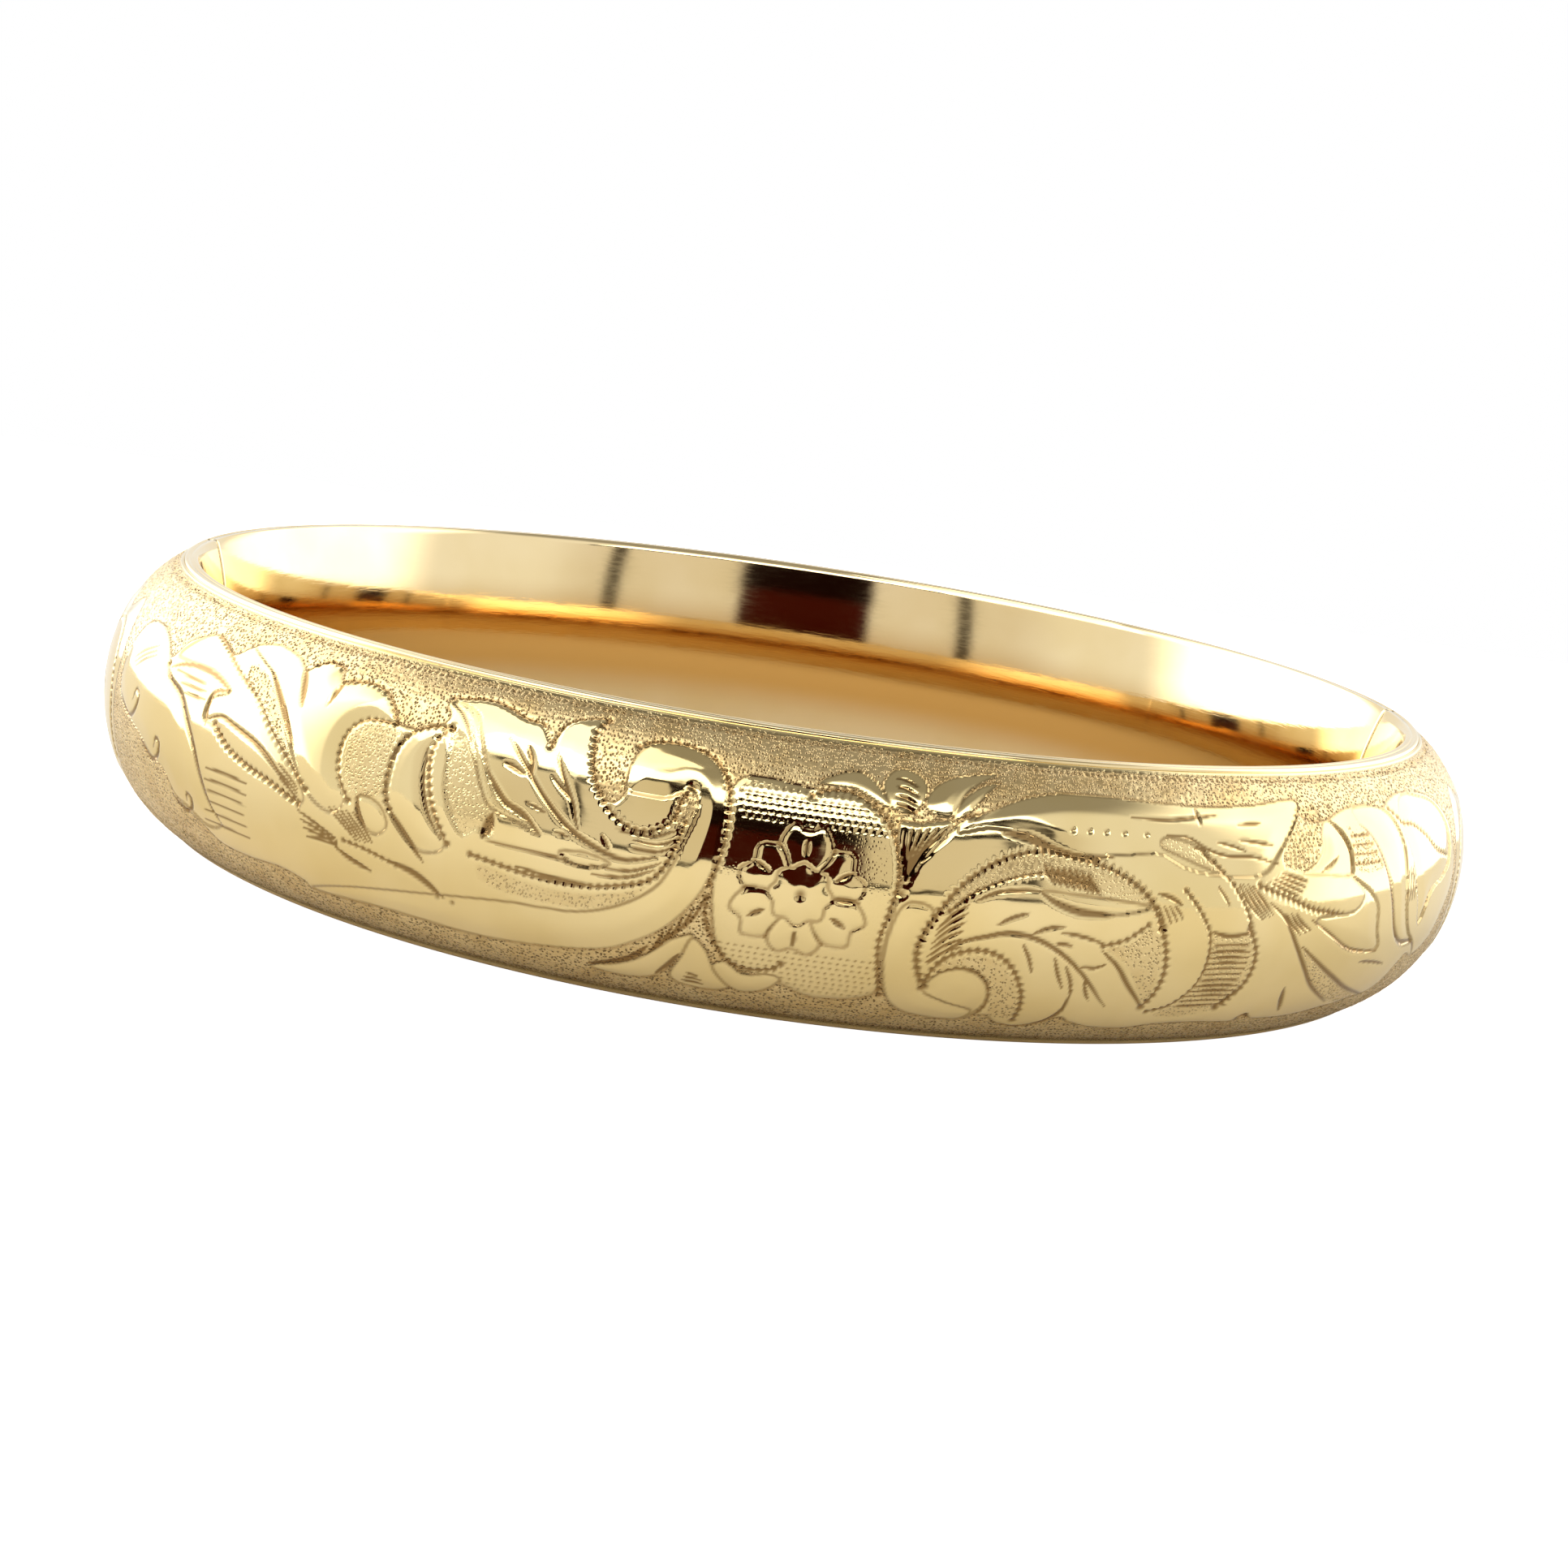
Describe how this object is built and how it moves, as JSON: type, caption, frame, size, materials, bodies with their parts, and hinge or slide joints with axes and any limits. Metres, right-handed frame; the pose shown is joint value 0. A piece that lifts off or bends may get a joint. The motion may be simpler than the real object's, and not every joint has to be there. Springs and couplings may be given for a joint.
{
  "type": "hinged bangle bracelet",
  "caption": "Hollow oval bangle bracelet with a domed, engraved front, opening on a hinge and locking with a box-and-tongue clasp.",
  "frame": {"origin": "centre of the oval, half way up the band's width", "axes": "+X along the oval's long axis, from the hinge to the clasp; -Y towards the engraved front; +Z along the band's width, up as it rests"},
  "size_m": [0.0672, 0.0584, 0.012],
  "materials": {
    "engraved_gold": "hand-engraved gold-filled brass, polished leaves on a matted ground",
    "polished_gold": "polished gold-filled brass with fine wear scratches",
    "plate_gold": "satin, as filed",
    "hinge_gold": "polished tube, slightly worn",
    "spring_gold": "rolled spring sheet, burnished by use"
  },
  "bodies": {
    "front_half": {"front_shell": "engraved_gold", "front_lining": "polished_gold", "front_hinge_end_plate": "plate_gold", "front_clasp_end_plate": "plate_gold", "catch_box": "plate_gold", "hinge_knuckle_front_upper": "hinge_gold", "hinge_knuckle_front_middle": "hinge_gold", "hinge_knuckle_front_lower": "hinge_gold", "hinge_pin": "hinge_gold"},
    "rear_half": {"rear_shell": "polished_gold", "rear_lining": "polished_gold", "rear_hinge_end_plate": "plate_gold", "rear_clasp_end_plate": "plate_gold", "hinge_knuckle_rear_upper": "hinge_gold", "hinge_knuckle_rear_lower": "hinge_gold", "tongue_base": "spring_gold"},
    "tongue_spring": {"spring_leaf": "spring_gold", "thumb_piece": "polished_gold"}
  },
  "joints": [
    {"name": "bangle_hinge", "type": "hinge", "parent": "front_half", "child": "rear_half", "pos_m": [-0.03239, 0.0016, 0], "axis": [0, 0, 1], "range_deg": [0, 60]},
    {"name": "thumb_press", "type": "hinge", "parent": "rear_half", "child": "tongue_spring", "pos_m": [0.03049, -0.0053, 0], "axis": [0, 0, 1], "range_deg": [0, 5]}
  ]
}
